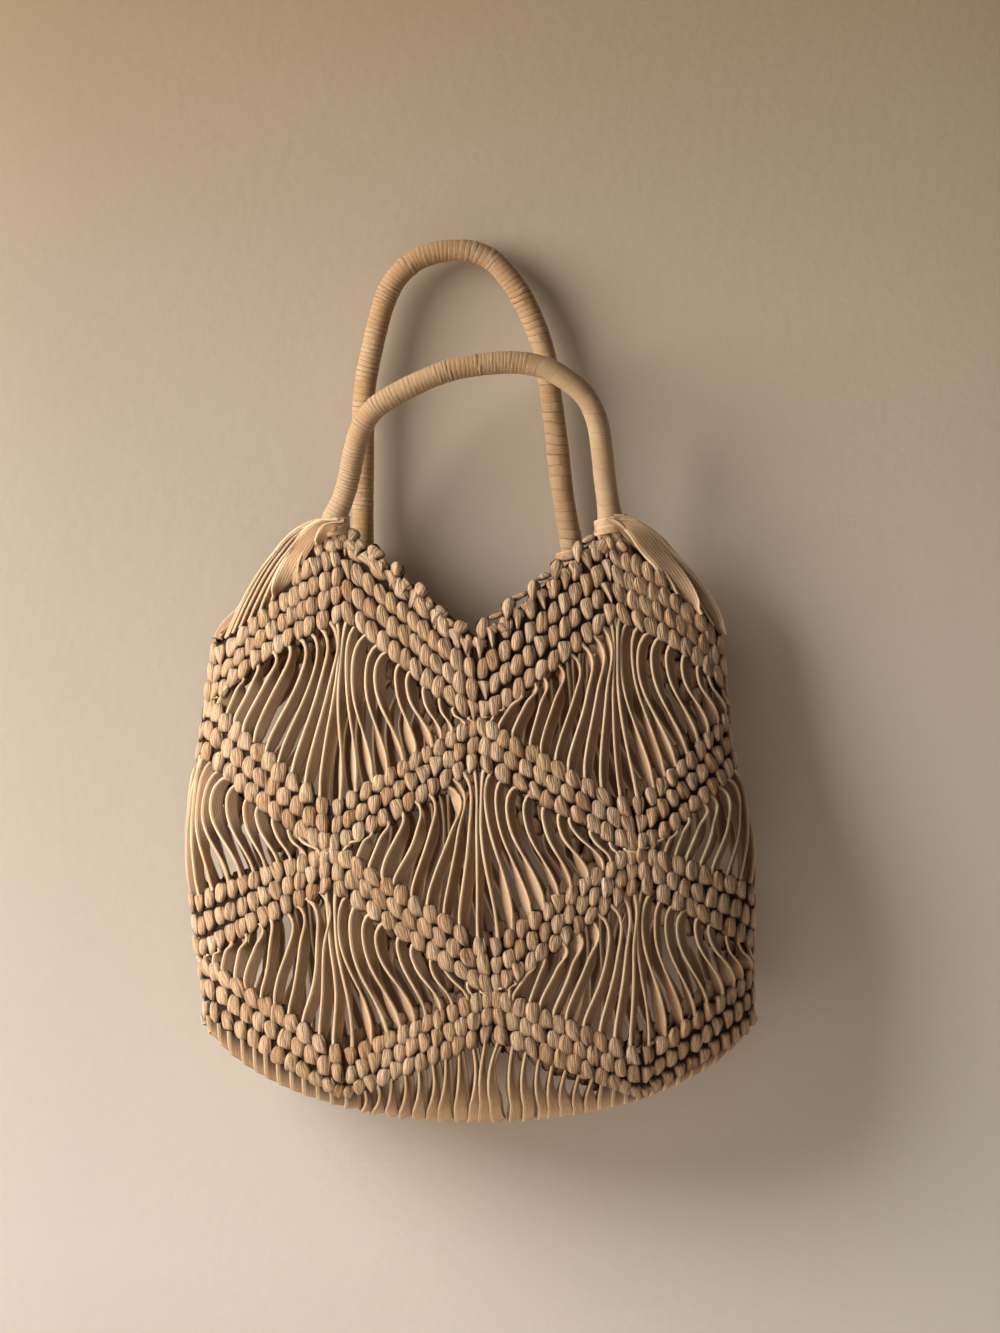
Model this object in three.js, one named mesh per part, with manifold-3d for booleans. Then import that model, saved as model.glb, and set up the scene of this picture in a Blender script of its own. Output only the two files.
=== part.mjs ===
// A knotted macrame bag with two bound handles, hanging by the arch of its back handle.
// Four zigzag bands of knots run round the bag. Flat cords hang free between them and under the bottom.
// Millimetres, +Z up, front towards -Y, right towards +X. The origin is the place under the back handle's
// arch where a hook holds the bag.
import * as THREE from "three";
import { mergeVertices } from "three/addons/utils/BufferGeometryUtils.js";
import Module from "manifold-3d";

const wasm = await Module();
wasm.setup();

// Driving sizes of the body.
const BODY_WIDTH = 370; // across the net where it is widest
const BODY_HEIGHT = 387; // from the roots of the front handle down to the lowest cord of the bottom
const BODY_DEPTH = 104; // front to back where the net is fullest
const BACK_FACE = 2.6; // how far the middle of the net's back lies behind the hook
const ROOT_DROP = 174.5; // from the hook down to the roots of the front handle
const BACK_SINK = 24; // how much lower the back of the mouth hangs
const KEEL_RADIUS = 34; // height over which the walls turn in to the bottom

// Driving sizes of the cords and the handles.
const BAND_THICKNESS = 7; // two layers of flat cord over the cord that carries the knots
const CORD_WIDTH = 7; // flat cord, which stands on edge in the walls and lies flat in the bottom
const CORD_THICKNESS = 2.6;
const FAN_THICKNESS = 3; // gathered flat cords of a shoulder
const HANDLE_DIAMETER = 15;
const FRONT_HANDLE_RISE = 106; // from its roots to the middle of its arch
const FRONT_HANDLE_LEAN = 22; // how far its arch leans forwards
const SEAT_GAP = 0.5; // clearance where one piece seats on another
const SIDE_SEAT_GAP = 3; // the same between a shoulder and the rim band at the sharp turn of the side
const ROOTED = 2.5; // how deep a cord's end runs into the band that it belongs to

// The pattern round the bag. A turn of 0 is the middle of the front, and 0.25 is the bag's right side.
const COLUMN_STEP = 1 / 8; // from the front's middle to the column under a handle root
const PATTERN_TURN = 0.012; // how far the pattern sits round to the right
const CROSSING_SHARE = 0.08; // half width of a crossing, as a share of COLUMN_STEP
const CORDS_PER_WINDOW = 7;
const BOTTOM_CORDS = 19;

// Horizontal sections of the body. down is a share of BODY_HEIGHT below the roots; width, shift and sway are
// shares of BODY_WIDTH; front and back are shares of BODY_DEPTH; pinch draws the back's mouth together.
const SECTIONS = [
  { down: -0.03, width: 0.88, shift: 0.01, front: 0.22, back: 0.15, pinch: 0.28, sway: 0.036 },
  { down: 0.19, width: 0.885, shift: 0.022, front: 0.32, back: 0.22, pinch: 0.2, sway: 0.02 },
  { down: 0.366, width: 0.925, shift: 0.017, front: 0.43, back: 0.31, pinch: 0.06, sway: 0.005 },
  { down: 0.526, width: 0.982, shift: 0.025, front: 0.53, back: 0.4, pinch: 0, sway: 0 },
  { down: 0.677, width: 0.968, shift: 0.032, front: 0.57, back: 0.43, pinch: 0, sway: 0 },
  { down: 0.795, width: 0.95, shift: 0.041, front: 0.57, back: 0.43, pinch: 0, sway: 0 },
  { down: 1.0, width: 0.95, shift: 0.041, front: 0.55, back: 0.42, pinch: 0, sway: 0 },
];

// Upper and lower edge of each zigzag band, as shares of BODY_HEIGHT below the roots, at the middle of the
// front and back, under the handle roots and at the sides. sideBow is how far the legs next to the sides sag in
// their middle. Where a band meets its neighbour it ends flat.
const BANDS = {
  rim_band: {
    upper: { middle: 0.18, root: 0, side: 0.193, sideBow: 0.026, flatBetween: false, flatAtRoot: true },
    lower: { middle: 0.328, root: 0.16, side: 0.294, sideBow: -0.018, flatBetween: true, flatAtRoot: false },
  },
  second_band: {
    upper: { middle: 0.328, root: 0.464, side: 0.294, sideBow: 0, flatBetween: true, flatAtRoot: false },
    lower: { middle: 0.405, root: 0.543, side: 0.388, sideBow: 0, flatBetween: false, flatAtRoot: true },
  },
  third_band: {
    upper: { middle: 0.694, root: 0.543, side: 0.615, sideBow: 0, flatBetween: false, flatAtRoot: true },
    lower: { middle: 0.775, root: 0.605, side: 0.723, sideBow: 0, flatBetween: true, flatAtRoot: false },
  },
  bottom_band: {
    upper: { middle: 0.775, root: 0.874, side: 0.723, sideBow: 0, flatBetween: true, flatAtRoot: false },
    lower: { middle: 0.854, root: 0.957, side: 0.822, sideBow: 0, flatBetween: false, flatAtRoot: false },
  },
};

// The bottom line of the bag, seen from the front, from the lowest cord in the middle up to the sides.
const KEEL = { side: 0.835, squareness: 2.2, fullness: 0.7 };

// Routes of the handles, seen from the front. across runs from the left root to the right one, and up from
// the roots to the top of the arch.
const BACK_HANDLE_ROUTE = [
  { across: 0, up: 0 },
  { across: 0, up: 0.05 },
  { across: 0.002, up: 0.267 },
  { across: 0.007, up: 0.523 },
  { across: 0.047, up: 0.683 },
  { across: 0.11, up: 0.843 },
  { across: 0.171, up: 0.917 },
  { across: 0.256, up: 0.968 },
  { across: 0.35, up: 0.993 },
  { across: 0.439, up: 1 },
  { across: 0.533, up: 0.995 },
  { across: 0.617, up: 0.968 },
  { across: 0.683, up: 0.923 },
  { across: 0.765, up: 0.843 },
  { across: 0.861, up: 0.683 },
  { across: 0.901, up: 0.523 },
  { across: 0.958, up: 0.203 },
  { across: 1, up: 0.03 },
  { across: 1, up: 0 },
];
const FRONT_HANDLE_ROUTE = [
  { across: 0, up: 0 },
  { across: 0, up: 0.03 },
  { across: 0.022, up: 0.163 },
  { across: 0.057, up: 0.469 },
  { across: 0.088, up: 0.623 },
  { across: 0.128, up: 0.715 },
  { across: 0.191, up: 0.788 },
  { across: 0.302, up: 0.883 },
  { across: 0.412, up: 0.954 },
  { across: 0.522, up: 0.988 },
  { across: 0.633, up: 1 },
  { across: 0.743, up: 0.975 },
  { across: 0.835, up: 0.899 },
  { across: 0.908, up: 0.791 },
  { across: 0.948, up: 0.653 },
  { across: 0.968, up: 0.469 },
  { across: 0.981, up: 0.285 },
  { across: 1, up: 0.03 },
  { across: 1, up: 0 },
];

// How a wall cord runs: it leaves its band towards the middle of the window, swings back and leans outwards.
const CORD_SWING = { lean: 0.3, bulge: 0.1, peak: 0.7 };

// The fan of a shoulder. Its head lies over the handle's end: width in turns, and lap is the share of it beyond
// the root. down is where it starts, and between clear and flush it comes in from the handle's face to the wall.
const FAN_HEAD = { width: 0.016, lap: 0.4, down: -0.02, clear: 0.002, flush: 0.05 };
// The cords run down ever more steeply, and the left shoulders stand out further than the right ones.
const FAN_FALL = 1.25;
const FAN_SPREAD = { left: 0.65, right: 0.85 };

// How fine the facets are.
const FLAT_STEPS = 3; // from the middle of the front or back to the column under a handle root
const SIDE_STEPS = 6; // from there to the side, closer together where the wall turns
const SIDE_CROWDING = 1.6;
const WALL_CORD_STEPS = 5;
const BOTTOM_TURN_STEPS = 3;
const HANDLE_STEPS = 30;
const HANDLE_SIDES = 10;
const FAN_STEPS = { along: 5, firstFoot: 1 };
const ARC_STEPS = 720;

const CORD_MATERIAL = new THREE.MeshStandardMaterial({ color: 0xd9b48f, roughness: 0.9, metalness: 0 });
const HANDLE_MATERIAL = new THREE.MeshStandardMaterial({ color: 0xc9a67c, roughness: 0.85, metalness: 0 });

// Value of a column of SECTIONS at a height, on a smooth curve through the rows.
function section(column, down) {
  const last = SECTIONS.length - 1;
  const here = THREE.MathUtils.clamp(down, SECTIONS[0].down, SECTIONS[last].down);
  let i = 0;
  while (i < last - 1 && here > SECTIONS[i + 1].down) i++;
  const slope = (k) => {
    const before = SECTIONS[Math.max(k - 1, 0)];
    const after = SECTIONS[Math.min(k + 1, last)];
    return (after[column] - before[column]) / (after.down - before.down);
  };
  const span = SECTIONS[i + 1].down - SECTIONS[i].down;
  const s = (here - SECTIONS[i].down) / span;
  const rise = s * s * (3 - 2 * s);
  return (
    SECTIONS[i][column] * (1 - rise) +
    SECTIONS[i + 1][column] * rise +
    span * (slope(i) * s * (1 - s) ** 2 - slope(i + 1) * s * s * (1 - s))
  );
}

// Angles round the fullest section at equal steps of length, so that the pattern keeps its spacing round it.
const arcLengths = [0];
for (let i = 1; i <= ARC_STEPS; i++) {
  const angle = ((i - 0.5) / ARC_STEPS) * 2 * Math.PI;
  arcLengths.push(
    arcLengths[i - 1] + Math.hypot(BODY_WIDTH * Math.cos(angle), BODY_DEPTH * Math.sin(angle)),
  );
}
const GIRTH = (arcLengths[ARC_STEPS] * Math.PI) / ARC_STEPS;

function angleAt(turn) {
  const whole = Math.floor(turn);
  const target = (turn - whole) * arcLengths[ARC_STEPS];
  let i = 0;
  while (i < ARC_STEPS - 1 && arcLengths[i + 1] < target) i++;
  const share = (target - arcLengths[i]) / (arcLengths[i + 1] - arcLengths[i]);
  return (whole + (i + share) / ARC_STEPS) * 2 * Math.PI;
}

function keelDown(across) {
  const inside = Math.max(0, 1 - Math.abs(across) ** KEEL.squareness);
  return KEEL.side + (1 - KEEL.side) * inside ** KEEL.fullness;
}

// Point on the middle of the net's wall, at an angle round it and a height.
function wallAtAngle(angle, down) {
  const across = Math.sin(angle);
  const ahead = Math.cos(angle);
  const behind = Math.max(0, -ahead);
  const above = THREE.MathUtils.clamp((keelDown(across) - down) * BODY_HEIGHT, 0, KEEL_RADIUS);
  const turnedIn = Math.sqrt(1 - (1 - above / KEEL_RADIUS) ** 2);
  const reach = BODY_DEPTH * section(ahead > 0 ? "front" : "back", down) * turnedIn;
  const sink = BACK_SINK * behind * Math.max(0, 1 - down);
  return new THREE.Vector3(
    BODY_WIDTH *
      (section("shift", down) +
        (section("width", down) / 2) * across * (1 - section("pinch", down) * behind) +
        section("sway", down) * behind),
    BACK_FACE - BODY_DEPTH * section("back", down) - ahead * reach,
    -ROOT_DROP - down * BODY_HEIGHT - sink,
  );
}

// Point at a pattern turn and a height, moved outwards from the middle of the wall.
function wallPoint(turn, down, outwards = 0) {
  const angle = angleAt(turn + PATTERN_TURN);
  const point = wallAtAngle(angle, down);
  if (outwards === 0) return point;
  const small = 0.002;
  const sideways = wallAtAngle(angle + small, down).sub(wallAtAngle(angle - small, down));
  const downwards = wallAtAngle(angle, down + small).sub(wallAtAngle(angle, down - small));
  return point.addScaledVector(downwards.cross(sideways).normalize(), outwards);
}

// Height of a band's edge at a pattern turn.
function edgeDown(edge, turn) {
  const column = turn / (2 * COLUMN_STEP);
  const nearest = Math.round(column);
  const towardsRoot = Math.abs(column - nearest) * 2;
  const between = nearest % 2 === 0 ? edge.middle : edge.side;
  const first = edge.flatBetween ? CROSSING_SHARE : 0;
  const last = 1 - (edge.flatAtRoot ? CROSSING_SHARE : 0);
  const share = THREE.MathUtils.clamp((towardsRoot - first) / (last - first), 0, 1);
  const bow = nearest % 2 === 0 ? 0 : edge.sideBow * Math.sin(Math.PI * share);
  return between + (edge.root - between) * share + bow;
}

// A closed solid from a grid of places on two faces. place(i, j, side) is a point, with side -1 or +1.
function slab(along, across, place, ring = false) {
  const columns = ring ? along : along + 1;
  const positions = [];
  for (const side of [-1, 1])
    for (let i = 0; i < columns; i++)
      for (let j = 0; j <= across; j++) positions.push(...place(i, j, side).toArray());
  const at = (i, j, side) => (side > 0 ? columns * (across + 1) : 0) + (i % columns) * (across + 1) + j;
  const index = [];
  const quad = (a, b, c, d) => index.push(a, b, c, a, c, d);
  for (let i = 0; i < along; i++) {
    for (let j = 0; j < across; j++) {
      quad(at(i, j, 1), at(i, j + 1, 1), at(i + 1, j + 1, 1), at(i + 1, j, 1));
      quad(at(i, j, -1), at(i + 1, j, -1), at(i + 1, j + 1, -1), at(i, j + 1, -1));
    }
    quad(at(i, 0, -1), at(i, 0, 1), at(i + 1, 0, 1), at(i + 1, 0, -1));
    quad(at(i, across, -1), at(i + 1, across, -1), at(i + 1, across, 1), at(i, across, 1));
  }
  if (!ring)
    for (let j = 0; j < across; j++) {
      quad(at(0, j, -1), at(0, j + 1, -1), at(0, j + 1, 1), at(0, j, 1));
      quad(at(along, j, -1), at(along, j, 1), at(along, j + 1, 1), at(along, j + 1, -1));
    }
  const geometry = new THREE.BufferGeometry();
  geometry.setAttribute("position", new THREE.Float32BufferAttribute(positions, 3));
  geometry.setIndex(index);
  return facingOut(geometry);
}

// Turns every face round if the solid's volume comes out negative.
function facingOut(geometry) {
  const p = geometry.attributes.position;
  const index = geometry.index.array;
  const corner = [new THREE.Vector3(), new THREE.Vector3(), new THREE.Vector3()];
  let volume = 0;
  for (let i = 0; i < index.length; i += 3) {
    corner.forEach((c, k) => c.fromBufferAttribute(p, index[i + k]));
    volume += corner[0].dot(corner[1].clone().cross(corner[2]));
  }
  if (volume < 0) for (let i = 0; i < index.length; i += 3) [index[i], index[i + 1]] = [index[i + 1], index[i]];
  return geometry;
}

function toSolid(geometry) {
  const bare = geometry.clone();
  bare.deleteAttribute("normal");
  bare.deleteAttribute("uv");
  const merged = mergeVertices(bare, 1e-4);
  return new wasm.Manifold(
    new wasm.Mesh({
      numProp: 3,
      vertProperties: new Float32Array(merged.attributes.position.array),
      triVerts: new Uint32Array(merged.index.array),
    }),
  );
}

function joined(geometries) {
  const solid = geometries.map(toSolid).reduce((a, b) => a.add(b));
  const mesh = solid.getMesh();
  const geometry = new THREE.BufferGeometry();
  geometry.setAttribute("position", new THREE.Float32BufferAttribute(mesh.vertProperties, 3));
  geometry.setIndex(new THREE.BufferAttribute(mesh.triVerts, 1));
  return geometry;
}

// Turns round the bag where the bands need a corner: at every column, at the ends of each crossing and between.
function stations() {
  const turns = [];
  for (let k = 0; k < 1 / COLUMN_STEP; k++) {
    const steps = k % 4 === 1 || k % 4 === 2 ? SIDE_STEPS : FLAT_STEPS;
    turns.push(k * COLUMN_STEP);
    for (let n = 0; n <= steps; n++) {
      let share = n / steps;
      if (k % 4 === 1) share = 1 - (1 - share) ** SIDE_CROWDING;
      if (k % 4 === 2) share = share ** SIDE_CROWDING;
      turns.push((k + CROSSING_SHARE + (1 - 2 * CROSSING_SHARE) * share) * COLUMN_STEP);
    }
  }
  return turns;
}

// A zigzag band as a ring. Its upper edge keeps the seat gap below the band or handle above it.
function bandGeometry(band, rows) {
  const turns = stations();
  const gap = SEAT_GAP / BODY_HEIGHT;
  return slab(
    turns.length,
    rows,
    (i, j, side) => {
      const top = edgeDown(band.upper, turns[i]) + gap;
      const bottom = edgeDown(band.lower, turns[i]);
      return wallPoint(turns[i], top + ((bottom - top) * j) / rows, (side * BAND_THICKNESS) / 2);
    },
    true,
  );
}

// One flat cord on edge, from inside the band above to just above the band below. offset is its place in the
// window, from -1 at the left crossing to +1 at the right one.
function wallCord(above, below, middleTurn, offset) {
  const lean = CORD_SWING.lean * (1 - Math.abs(offset));
  const topTurn = middleTurn + offset * (1 - lean) * COLUMN_STEP;
  const bottomTurn = middleTurn + offset * (1 + lean) * COLUMN_STEP;
  const swing = Math.sign(offset) * CORD_SWING.bulge * Math.sin(Math.PI * Math.min(1, Math.abs(offset) * 1.5));
  const topDown = edgeDown(above.lower, topTurn) - ROOTED / BODY_HEIGHT;
  const bottomDown = edgeDown(below.upper, bottomTurn);
  const half = CORD_THICKNESS / 2 / GIRTH;
  const middle = (q) => ({
    turn: topTurn + (bottomTurn - topTurn) * q - swing * Math.sin(Math.PI * q ** CORD_SWING.peak) * COLUMN_STEP,
    down: topDown + (bottomDown - topDown) * q,
  });
  return slab(WALL_CORD_STEPS, 1, (i, j, side) => {
    const q = i / WALL_CORD_STEPS;
    const here = middle(q);
    const outwards = (j - 0.5) * CORD_WIDTH;
    if (i === 0 || i === WALL_CORD_STEPS) {
      const turn = here.turn + side * half;
      const end = i === 0 ? edgeDown(above.lower, turn) - ROOTED / BODY_HEIGHT : edgeDown(below.upper, turn);
      return wallPoint(turn, end, outwards);
    }
    const before = middle(q - 0.01);
    const after = middle(q + 0.01);
    const run = (after.turn - before.turn) * GIRTH;
    const fall = (after.down - before.down) * BODY_HEIGHT;
    const length = Math.hypot(run, fall);
    return wallPoint(
      here.turn + (side * CORD_THICKNESS * fall) / length / 2 / GIRTH,
      here.down - (side * CORD_THICKNESS * run) / length / 2 / BODY_HEIGHT,
      outwards,
    );
  });
}

// The cords of every window between two bands. Windows are centred on columns that start at firstColumn.
function wallCords(above, below, firstColumn) {
  const cords = [];
  for (let k = 0; k < 4; k++)
    for (let n = 1; n <= CORDS_PER_WINDOW; n++) {
      const offset = (2 * n) / (CORDS_PER_WINDOW + 1) - 1;
      cords.push(wallCord(above, below, (firstColumn + 2 * k) * COLUMN_STEP, offset));
    }
  return cords;
}

// One flat cord of the bottom: down the front wall from the bottom band, round under and up the back.
function bottomCord(across) {
  const frontAngle = Math.asin(across);
  const lower = (angle) => {
    const share = arcShare(angle);
    return edgeDown(BANDS.bottom_band.lower, share - PATTERN_TURN) - ROOTED / BODY_HEIGHT;
  };
  const keel = keelDown(across);
  const line = [];
  for (const back of [false, true]) {
    const angle = back ? Math.PI - frontAngle : frontAngle;
    const height = (keel - lower(angle)) * BODY_HEIGHT;
    const leg = [];
    if (height > KEEL_RADIUS) leg.push(height);
    const first = Math.asin(Math.max(0, 1 - height / KEEL_RADIUS));
    for (let n = 0; n < BOTTOM_TURN_STEPS; n++) {
      const tilt = first + ((Math.PI / 2 - first) * n) / BOTTOM_TURN_STEPS;
      leg.push(KEEL_RADIUS * (1 - Math.sin(tilt)));
    }
    const points = leg.map((above) => wallAtAngle(angle, keel - above / BODY_HEIGHT));
    line.push(...(back ? points.reverse() : points));
    if (!back) line.push(wallAtAngle(angle, keel));
  }
  const last = line.length - 1;
  return slab(last, 1, (i, j, side) => {
    const along = line[Math.min(i + 1, last)].clone().sub(line[Math.max(i - 1, 0)]);
    const normal = new THREE.Vector3(0, along.z, -along.y).normalize();
    const point = line[i].clone().addScaledVector(normal, (side * CORD_THICKNESS) / 2);
    point.x += (j - 0.5) * CORD_WIDTH;
    return point;
  });
}

// Share of the girth at an angle, the reverse of angleAt.
function arcShare(angle) {
  const steps = (angle / (2 * Math.PI)) * ARC_STEPS;
  const whole = Math.floor(steps / ARC_STEPS);
  const inTurn = steps - whole * ARC_STEPS;
  const i = Math.min(Math.floor(inTurn), ARC_STEPS - 1);
  const length = arcLengths[i] + (arcLengths[i + 1] - arcLengths[i]) * (inTurn - i);
  return whole + length / arcLengths[ARC_STEPS];
}

function bottomCords() {
  const reach = 0.88;
  const cords = [];
  for (let n = 0; n < BOTTOM_CORDS; n++) cords.push(bottomCord(reach * ((2 * n) / (BOTTOM_CORDS - 1) - 1)));
  return cords;
}

// A bound handle of constant thickness, from root to root along its route.
function handleGeometry(route, leftTurn, rightTurn, topZ, lean) {
  const left = wallPoint(leftTurn, 0);
  const right = wallPoint(rightTurn, 0);
  const points = route.map(({ across, up }) => {
    const root = left.clone().lerp(right, across);
    const seatZ = root.z + SEAT_GAP;
    const leaning = lean * THREE.MathUtils.smoothstep(up, 0.03, 1);
    return new THREE.Vector3(root.x, root.y - leaning, seatZ + (topZ - seatZ) * up);
  });
  const path = new THREE.CatmullRomCurve3(points, false, "centripetal");
  const shape = new THREE.Shape();
  for (let n = 0; n < HANDLE_SIDES; n++) {
    const angle = (2 * Math.PI * n) / HANDLE_SIDES;
    const x = (HANDLE_DIAMETER / 2) * Math.cos(angle);
    const y = (HANDLE_DIAMETER / 2) * Math.sin(angle);
    if (n === 0) shape.moveTo(x, y);
    else shape.lineTo(x, y);
  }
  return new THREE.ExtrudeGeometry(shape, { steps: HANDLE_STEPS, extrudePath: path });
}

// The cords gathered at a handle root, which fan out over the shoulder to the rim band's upper edge.
// way is +1 where the fan runs on with the turn and -1 where it runs back.
function shoulderFan(rootTurn, way, spread) {
  const feet = [];
  for (let n = FAN_STEPS.firstFoot; n <= SIDE_STEPS; n++) {
    const share = 1 - (1 - n / SIDE_STEPS) ** SIDE_CROWDING;
    feet.push((CROSSING_SHARE + (1 - 2 * CROSSING_SHARE) * share) * COLUMN_STEP);
  }
  const across = feet.length - 1;
  return slab(FAN_STEPS.along, across, (i, j, side) => {
    const q = i / FAN_STEPS.along;
    const from = rootTurn + way * FAN_HEAD.width * (j / across - FAN_HEAD.lap);
    const to = rootTurn + way * feet[j];
    const gap = SEAT_GAP + ((SIDE_SEAT_GAP - SEAT_GAP) * j) / across;
    const landing = edgeDown(BANDS.rim_band.upper, to) - gap / BODY_HEIGHT;
    const turn = from + (to - from) * q ** spread;
    const down = FAN_HEAD.down + (landing - FAN_HEAD.down) * q ** FAN_FALL;
    const settled = THREE.MathUtils.smoothstep(down, FAN_HEAD.clear, FAN_HEAD.flush);
    const head = HANDLE_DIAMETER / 2 + 5 * SEAT_GAP + FAN_THICKNESS / 2;
    return wallPoint(turn, down, head * (1 - settled) + (side * FAN_THICKNESS) / 2);
  });
}

function named(name, geometry, material) {
  const mesh = new THREE.Mesh(geometry, material);
  mesh.name = name;
  return mesh;
}

const bag = new THREE.Group();
const { rim_band, second_band, third_band, bottom_band } = BANDS;
bag.add(
  named("rim_band", joined([bandGeometry(rim_band, 1), ...wallCords(rim_band, second_band, 1)]), CORD_MATERIAL),
  named("second_band", joined([bandGeometry(second_band, 1), ...wallCords(second_band, third_band, 0)]), CORD_MATERIAL),
  named("third_band", joined([bandGeometry(third_band, 1), ...wallCords(third_band, bottom_band, 1)]), CORD_MATERIAL),
  named("bottom_band", joined([bandGeometry(bottom_band, 2), ...bottomCords()]), CORD_MATERIAL),
);

const HANDLES = [
  {
    name: "front",
    left: -COLUMN_STEP,
    right: COLUMN_STEP,
    route: FRONT_HANDLE_ROUTE,
    topZ: -ROOT_DROP + FRONT_HANDLE_RISE,
    lean: FRONT_HANDLE_LEAN,
  },
  {
    name: "back",
    left: 5 * COLUMN_STEP,
    right: 3 * COLUMN_STEP,
    route: BACK_HANDLE_ROUTE,
    topZ: HANDLE_DIAMETER / 2,
    lean: 0,
  },
];
for (const { name, left, right, route, topZ, lean } of HANDLES) {
  const away = name === "front" ? 1 : -1;
  bag.add(
    named(`${name}_handle`, handleGeometry(route, left, right, topZ, lean), HANDLE_MATERIAL),
    named(`${name}_left_shoulder_cords`, shoulderFan(left, -away, FAN_SPREAD.left), CORD_MATERIAL),
    named(`${name}_right_shoulder_cords`, shoulderFan(right, away, FAN_SPREAD.right), CORD_MATERIAL),
  );
}

export default bag;
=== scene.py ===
import math

import bpy
import numpy as np
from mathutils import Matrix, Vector


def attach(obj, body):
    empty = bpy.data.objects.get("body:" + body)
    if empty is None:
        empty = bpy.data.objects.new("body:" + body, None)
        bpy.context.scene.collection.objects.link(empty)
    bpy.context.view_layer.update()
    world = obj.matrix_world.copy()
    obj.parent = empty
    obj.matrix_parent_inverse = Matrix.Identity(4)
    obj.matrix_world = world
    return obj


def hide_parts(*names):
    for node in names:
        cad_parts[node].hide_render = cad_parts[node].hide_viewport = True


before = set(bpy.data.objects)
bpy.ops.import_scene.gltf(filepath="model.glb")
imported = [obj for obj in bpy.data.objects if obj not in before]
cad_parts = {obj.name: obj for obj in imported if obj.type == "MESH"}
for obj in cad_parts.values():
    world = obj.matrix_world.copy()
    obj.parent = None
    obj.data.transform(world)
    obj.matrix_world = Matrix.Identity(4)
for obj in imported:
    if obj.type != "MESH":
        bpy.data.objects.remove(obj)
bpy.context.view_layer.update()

# Sizes in millimetres, shares and counts, with the same names and values as in the solid model.
BODY_WIDTH = 370
BODY_HEIGHT = 387
BODY_DEPTH = 104
BACK_FACE = 2.6
ROOT_DROP = 174.5
BACK_SINK = 24
KEEL_RADIUS = 34
HANDLE_DIAMETER = 15
FRONT_HANDLE_RISE = 106
FRONT_HANDLE_LEAN = 22
SEAT_GAP = 0.5
COLUMN_STEP = 1 / 8
PATTERN_TURN = 0.012
CROSSING_SHARE = 0.08
ARC_STEPS = 720
MM = 0.001

# Sizes in millimetres, factors and counts of the cords and knots that only the looks have.
TAPE_WIDTH = 8.8
LAIN_WIDTH = 13.0
TAPE_THICKNESS = 1.9
KNOT_HEIGHT = 3.4
KNOT_WIDENING = 1.04
KNOT_SHORTENING = 0.99
OUTLINE_PITCH = 8.6
INNER_RIM_ROW = 13.4
OUTER_RIM_ROW = 12.0
UNTIDY_ROW = 6.0
CORE_HALF = 1.0
CORE_TUCK = 2.0
CORE_DEEP_TUCK = 5.0
CORD_TUCK = 3.0
SHOULDER_TUCK = 2.0
EDGE_WEAR_AND_HIGHLIGHT = 0.55
BINDING_STEP = 0.42
CORDS_PER_LEG = 11

SECTION_DOWN = np.array([-0.03, 0.19, 0.366, 0.526, 0.677, 0.795, 1.0])
SECTION_ROWS = {
    "width": np.array([0.88, 0.885, 0.925, 0.982, 0.968, 0.95, 0.95]),
    "shift": np.array([0.01, 0.022, 0.017, 0.025, 0.032, 0.041, 0.041]),
    "front": np.array([0.22, 0.32, 0.43, 0.53, 0.57, 0.57, 0.55]),
    "back": np.array([0.15, 0.22, 0.31, 0.4, 0.43, 0.43, 0.42]),
    "pinch": np.array([0.28, 0.2, 0.06, 0, 0, 0, 0]),
    "sway": np.array([0.036, 0.02, 0.005, 0, 0, 0, 0]),
}

# Edges of the bands: at the middles, under the handle roots and at the sides, then the sag of the side legs
# and whether the edge runs flat between and at the roots.
EDGES = {
    "rim": ((0.18, 0, 0.193, 0.026, False, True), (0.328, 0.16, 0.294, -0.018, True, False)),
    "second": ((0.328, 0.464, 0.294, 0, True, False), (0.405, 0.543, 0.388, 0, False, True)),
    "third": ((0.694, 0.543, 0.615, 0, False, True), (0.775, 0.605, 0.723, 0, True, False)),
    "bottom": ((0.775, 0.874, 0.723, 0, True, False), (0.854, 0.957, 0.822, 0, False, False)),
}
KEEL = {"side": 0.835, "squareness": 2.2, "fullness": 0.7}
FAN_HEAD = {"width": 0.016, "lap": 0.4, "down": -0.02, "clear": 0.002, "flush": 0.05}
FAN_FALL = 1.25

BACK_HANDLE_ROUTE = [
    (0, 0), (0, 0.05), (0.002, 0.267), (0.007, 0.523), (0.047, 0.683), (0.11, 0.843), (0.171, 0.917),
    (0.256, 0.968), (0.35, 0.993), (0.439, 1), (0.533, 0.995), (0.617, 0.968), (0.683, 0.923),
    (0.765, 0.843), (0.861, 0.683), (0.901, 0.523), (0.958, 0.203), (1, 0.03), (1, 0),
]
FRONT_HANDLE_ROUTE = [
    (0, 0), (0, 0.03), (0.022, 0.163), (0.057, 0.469), (0.088, 0.623), (0.128, 0.715), (0.191, 0.788),
    (0.302, 0.883), (0.412, 0.954), (0.522, 0.988), (0.633, 1), (0.743, 0.975), (0.835, 0.899),
    (0.908, 0.791), (0.948, 0.653), (0.968, 0.469), (0.981, 0.285), (1, 0.03), (1, 0),
]


def smooth(x, low=0.0, high=1.0):
    s = np.clip((np.asarray(x, float) - low) / (high - low), 0, 1)
    return s * s * (3 - 2 * s)


def unit(v):
    return v / np.maximum(np.linalg.norm(v, axis=-1, keepdims=True), 1e-9)


def section_slopes(values):
    last = len(values) - 1
    before = np.maximum(np.arange(last + 1) - 1, 0)
    after = np.minimum(np.arange(last + 1) + 1, last)
    return (values[after] - values[before]) / (SECTION_DOWN[after] - SECTION_DOWN[before])


SECTION_SLOPES = {name: section_slopes(values) for name, values in SECTION_ROWS.items()}


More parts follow.
